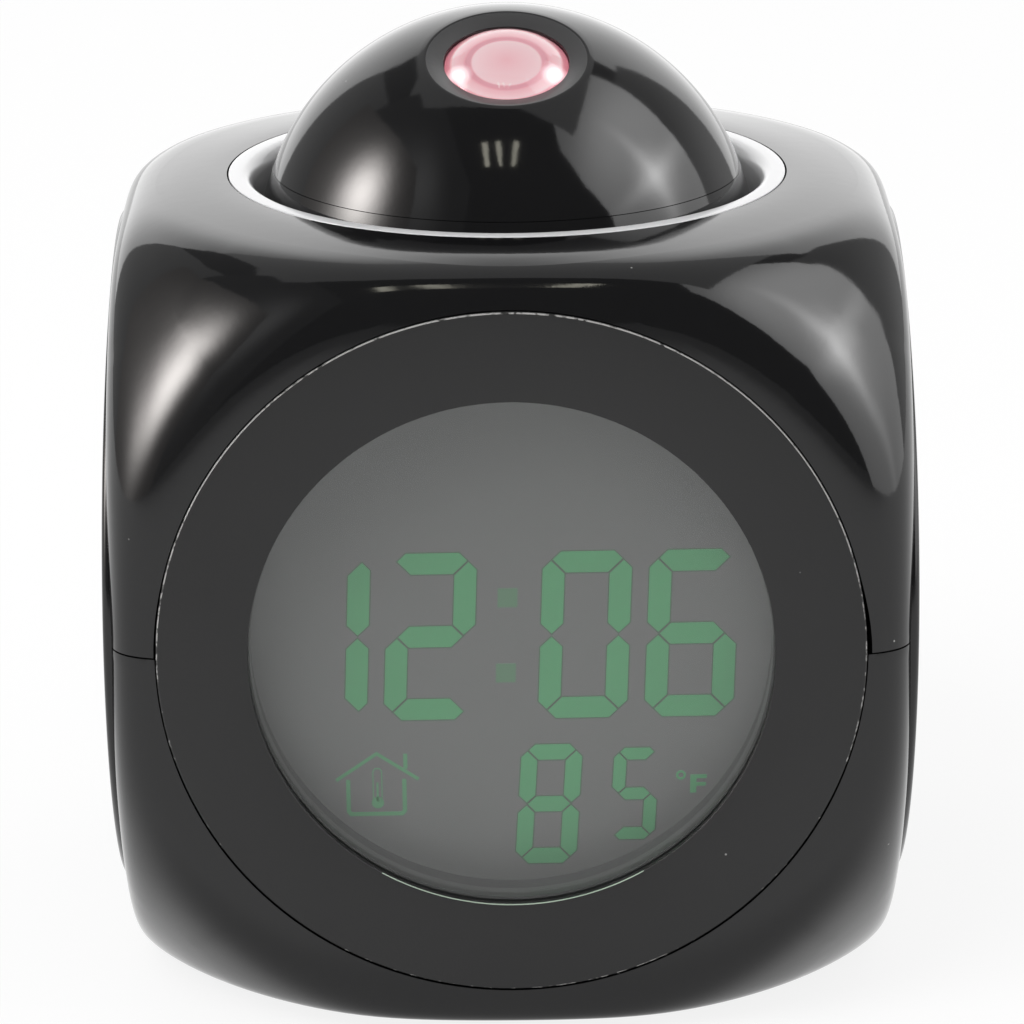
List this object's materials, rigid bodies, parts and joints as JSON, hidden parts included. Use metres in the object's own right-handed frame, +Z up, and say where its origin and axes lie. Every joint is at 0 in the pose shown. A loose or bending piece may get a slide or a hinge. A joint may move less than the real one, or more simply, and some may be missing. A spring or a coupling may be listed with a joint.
{
  "type": "projection alarm clock",
  "caption": "Rounded-cube alarm clock with a round digital display, a swivelling, pressable projector ball on top and keys in its back.",
  "frame": {"origin": "middle of the footprint, on the plane the four feet stand on", "axes": "+Z up, the display looks along -Y, +X to the viewer's right"},
  "size_m": [0.082, 0.0798, 0.098],
  "materials": {
    "shell_black": "gloss",
    "dome_black": "gloss",
    "disc_black": "gloss",
    "ring_white": "gloss",
    "bezel_black": "satin",
    "window_clear": "clear",
    "housing_grey": "matte",
    "display_glass": "satin, green segments on grey",
    "light_guide_white": "satin",
    "led_green": "gloss",
    "contact_rubber": "matte",
    "board_green": "satin",
    "chip_black": "matte",
    "sensor_brown": "gloss",
    "screw_steel": "bright",
    "panel_black": "fine texture",
    "speaker_metal": "satin",
    "key_black": "matte",
    "inner_black": "matte",
    "lens_pink": "clear, faint pink",
    "lens_clear": "clear",
    "film_dark": "gloss",
    "led_red": "gloss",
    "spring_steel": "satin",
    "cell_wrap": "gloss",
    "foot_rubber": "matte"
  },
  "bodies": {
    "case": {"upper_shell": "shell_black", "lower_shell": "shell_black", "top_ring": "ring_white", "front_bezel": "bezel_black", "front_window": "window_clear", "display_housing": "housing_grey", "lcd_panel": "display_glass", "light_guide": "light_guide_white", "backlight_leds": "led_green", "zebra_strips": "contact_rubber", "main_board": "board_green", "clock_chip": "chip_black", "temperature_sensor": "sensor_brown", "board_screws": "screw_steel", "left_disc": "disc_black", "right_disc": "disc_black", "back_panel": "panel_black", "speaker": "speaker_metal", "key_board": "board_green", "key_membrane": "contact_rubber", "slide_switch": "spring_steel", "dome_guide": "inner_black", "guide_screws": "screw_steel", "press_board": "board_green", "press_switch": "chip_black", "battery_box": "inner_black", "battery_contacts": "spring_steel", "battery_springs": "spring_steel", "batteries": "cell_wrap", "feet": "foot_rubber", "case_screws": "screw_steel"},
    "dome_cap": {"dome_shell": "dome_black", "swivel_retainer": "inner_black", "lens_barrel": "inner_black", "projector_lens": "lens_pink", "condenser_lens": "lens_clear", "image_film": "film_dark", "projector_led": "led_red", "projector_board": "board_green"},
    "ball_collar": {"press_collar": "shell_black"},
    "switch_plunger": {"press_plunger": "key_black"},
    "alarm_key": {"alarm_key": "key_black"},
    "set_key": {"set_key": "key_black"},
    "up_key": {"up_key": "key_black"},
    "down_key": {"down_key": "key_black"},
    "switch_knob": {"switch_knob": "key_black"},
    "battery_door": {"battery_door": "panel_black"}
  },
  "joints": [
    {"name": "ball_press", "type": "slide", "parent": "case", "child": "ball_collar", "axis": [0, 0, -1], "range_m": [0, 0.0008], "stiffness_N_per_m": 2500, "springref_m": -0.0006},
    {"name": "plunger_press", "type": "slide", "parent": "case", "child": "switch_plunger", "axis": [0, 0, -1], "range_m": [0, 0.0008]},
    {"name": "dome_swivel", "type": "hinge", "parent": "ball_collar", "child": "dome_cap", "pos_m": [0, 0, 0.072], "axis": [0, 0, 1], "range_deg": [-90, 90]},
    {"name": "alarm_key_press", "type": "slide", "parent": "case", "child": "alarm_key", "axis": [0, -1, 0], "range_m": [0, 0.0007], "stiffness_N_per_m": 900, "springref_m": -0.0005},
    {"name": "set_key_press", "type": "slide", "parent": "case", "child": "set_key", "axis": [0, -1, 0], "range_m": [0, 0.0007], "stiffness_N_per_m": 900, "springref_m": -0.0005},
    {"name": "up_key_press", "type": "slide", "parent": "case", "child": "up_key", "axis": [0, -1, 0], "range_m": [0, 0.0007], "stiffness_N_per_m": 900, "springref_m": -0.0005},
    {"name": "down_key_press", "type": "slide", "parent": "case", "child": "down_key", "axis": [0, -1, 0], "range_m": [0, 0.0007], "stiffness_N_per_m": 900, "springref_m": -0.0005},
    {"name": "switch_slide", "type": "slide", "parent": "case", "child": "switch_knob", "axis": [1, 0, 0], "range_m": [0, 0.004]},
    {"name": "battery_door_off", "type": "slide", "parent": "case", "child": "battery_door", "axis": [0, 0, -1], "range_m": [0, 0.012]}
  ],
  "couplings": [
    {"joint": "plunger_press", "follows": "ball_press", "ratio": 1}
  ]
}
